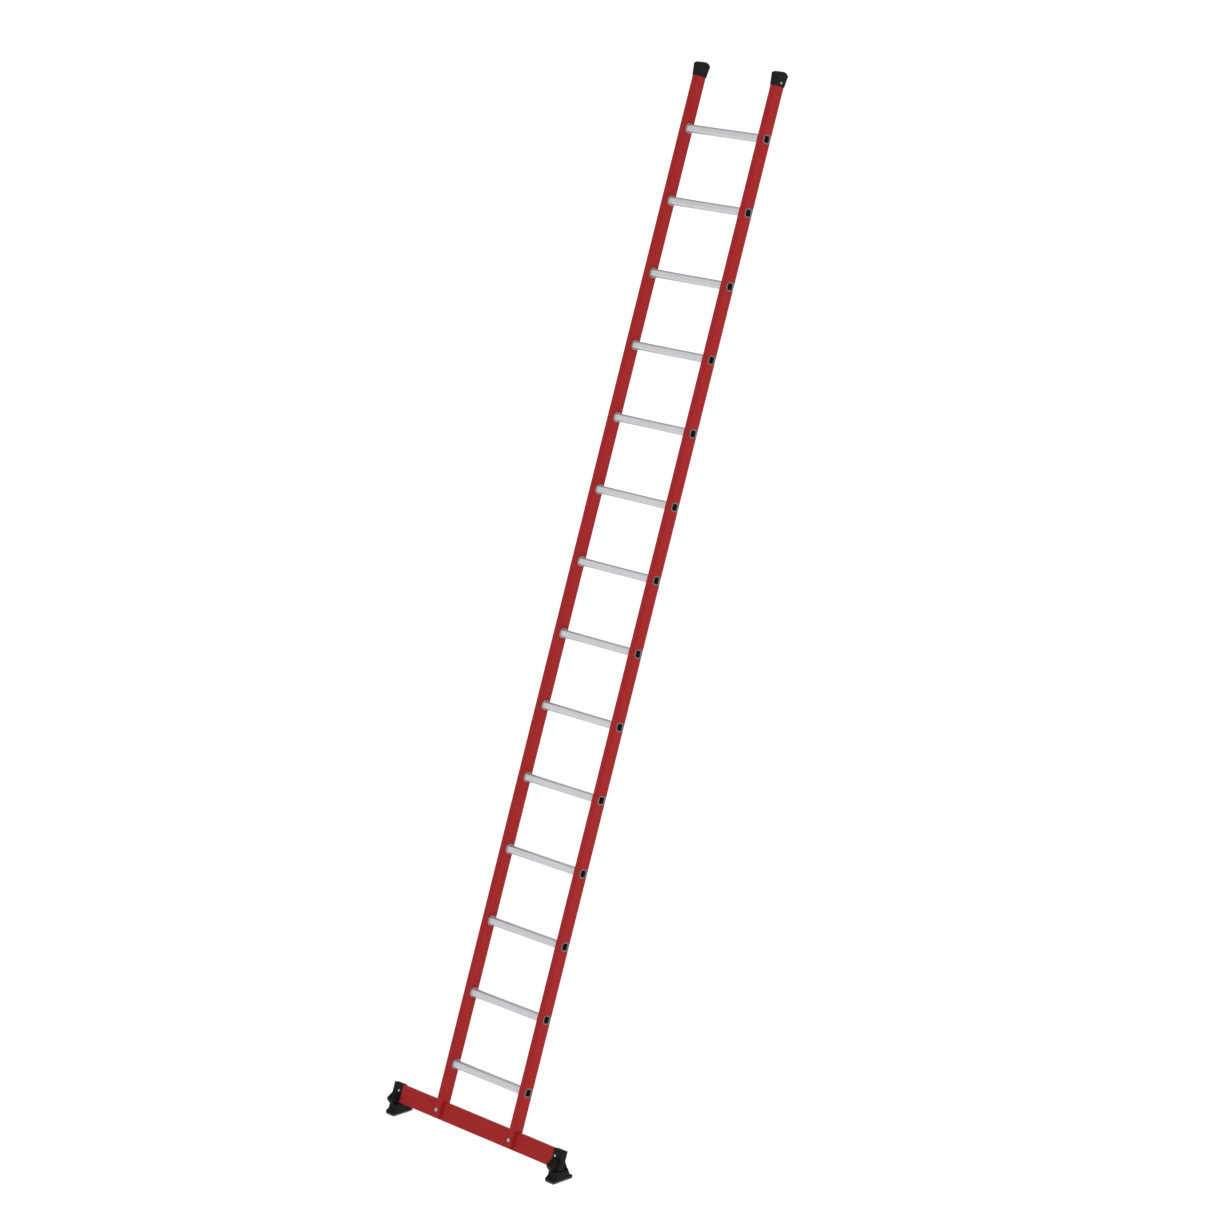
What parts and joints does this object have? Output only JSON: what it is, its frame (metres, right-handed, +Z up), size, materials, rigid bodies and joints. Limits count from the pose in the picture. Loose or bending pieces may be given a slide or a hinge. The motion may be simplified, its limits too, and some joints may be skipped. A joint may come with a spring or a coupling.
{
  "type": "leaning ladder",
  "caption": "Single-section leaning ladder with red hollow stiles, square rungs, flared top caps and a wide stabiliser bar on two tilting feet.",
  "frame": {"origin": "middle of the whole ladder's footprint box, at the level of the soles", "axes": "+Z up, +X along the rungs to the climber's right, +Y away from the climber, the way the ladder leans"},
  "size_m": [0.954, 1.4274, 3.9314],
  "materials": {
    "red_fibreglass": "satin, pultruded",
    "rung_aluminium": "satin mill finish",
    "black_plastic": "matt moulded",
    "sole_rubber": "matt",
    "zinc_steel": "zinc plated",
    "rivet_aluminium": "bright"
  },
  "bodies": {
    "ladder": {"stile_left": "red_fibreglass", "stile_right": "red_fibreglass", "rung_01": "rung_aluminium", "rung_02": "rung_aluminium", "rung_03": "rung_aluminium", "rung_04": "rung_aluminium", "rung_05": "rung_aluminium", "rung_06": "rung_aluminium", "rung_07": "rung_aluminium", "rung_08": "rung_aluminium", "rung_09": "rung_aluminium", "rung_10": "rung_aluminium", "rung_11": "rung_aluminium", "rung_12": "rung_aluminium", "rung_13": "rung_aluminium", "rung_14": "rung_aluminium", "crossbar": "red_fibreglass", "crossbar_bolts": "zinc_steel", "bolt_washers": "zinc_steel", "bolt_nuts": "zinc_steel", "spacer_sleeves": "zinc_steel", "cap_rivets": "rivet_aluminium", "socket_rivets": "rivet_aluminium", "top_cap_left": "black_plastic", "top_cap_right": "black_plastic", "foot_socket_left": "black_plastic", "foot_socket_right": "black_plastic"},
    "saddle_left": {"foot_saddle_left": "black_plastic", "roll_pin_left": "zinc_steel"},
    "shoe_left": {"shoe_left": "black_plastic", "guide_pins_left": "zinc_steel", "sole_left": "sole_rubber", "sole_screws_left": "zinc_steel"},
    "saddle_right": {"foot_saddle_right": "black_plastic", "roll_pin_right": "zinc_steel"},
    "shoe_right": {"shoe_right": "black_plastic", "guide_pins_right": "zinc_steel", "sole_right": "sole_rubber", "sole_screws_right": "zinc_steel"}
  },
  "joints": [
    {"name": "roll_left", "type": "hinge", "parent": "ladder", "child": "saddle_left", "pos_m": [-0.45275, -0.66944, 0.06302], "axis": [0, 0.9432, -0.3322], "range_deg": [-6, 6]},
    {"name": "pitch_left", "type": "hinge", "parent": "saddle_left", "child": "shoe_left", "pos_m": [-0.45275, -0.66346, 0.08], "axis": [1, 0, 0], "range_deg": [-44.4, 5.6]},
    {"name": "roll_right", "type": "hinge", "parent": "ladder", "child": "saddle_right", "pos_m": [0.45275, -0.66944, 0.06302], "axis": [0, 0.9432, -0.3322], "range_deg": [-6, 6]},
    {"name": "pitch_right", "type": "hinge", "parent": "saddle_right", "child": "shoe_right", "pos_m": [0.45275, -0.66346, 0.08], "axis": [1, 0, 0], "range_deg": [-44.4, 5.6]}
  ]
}
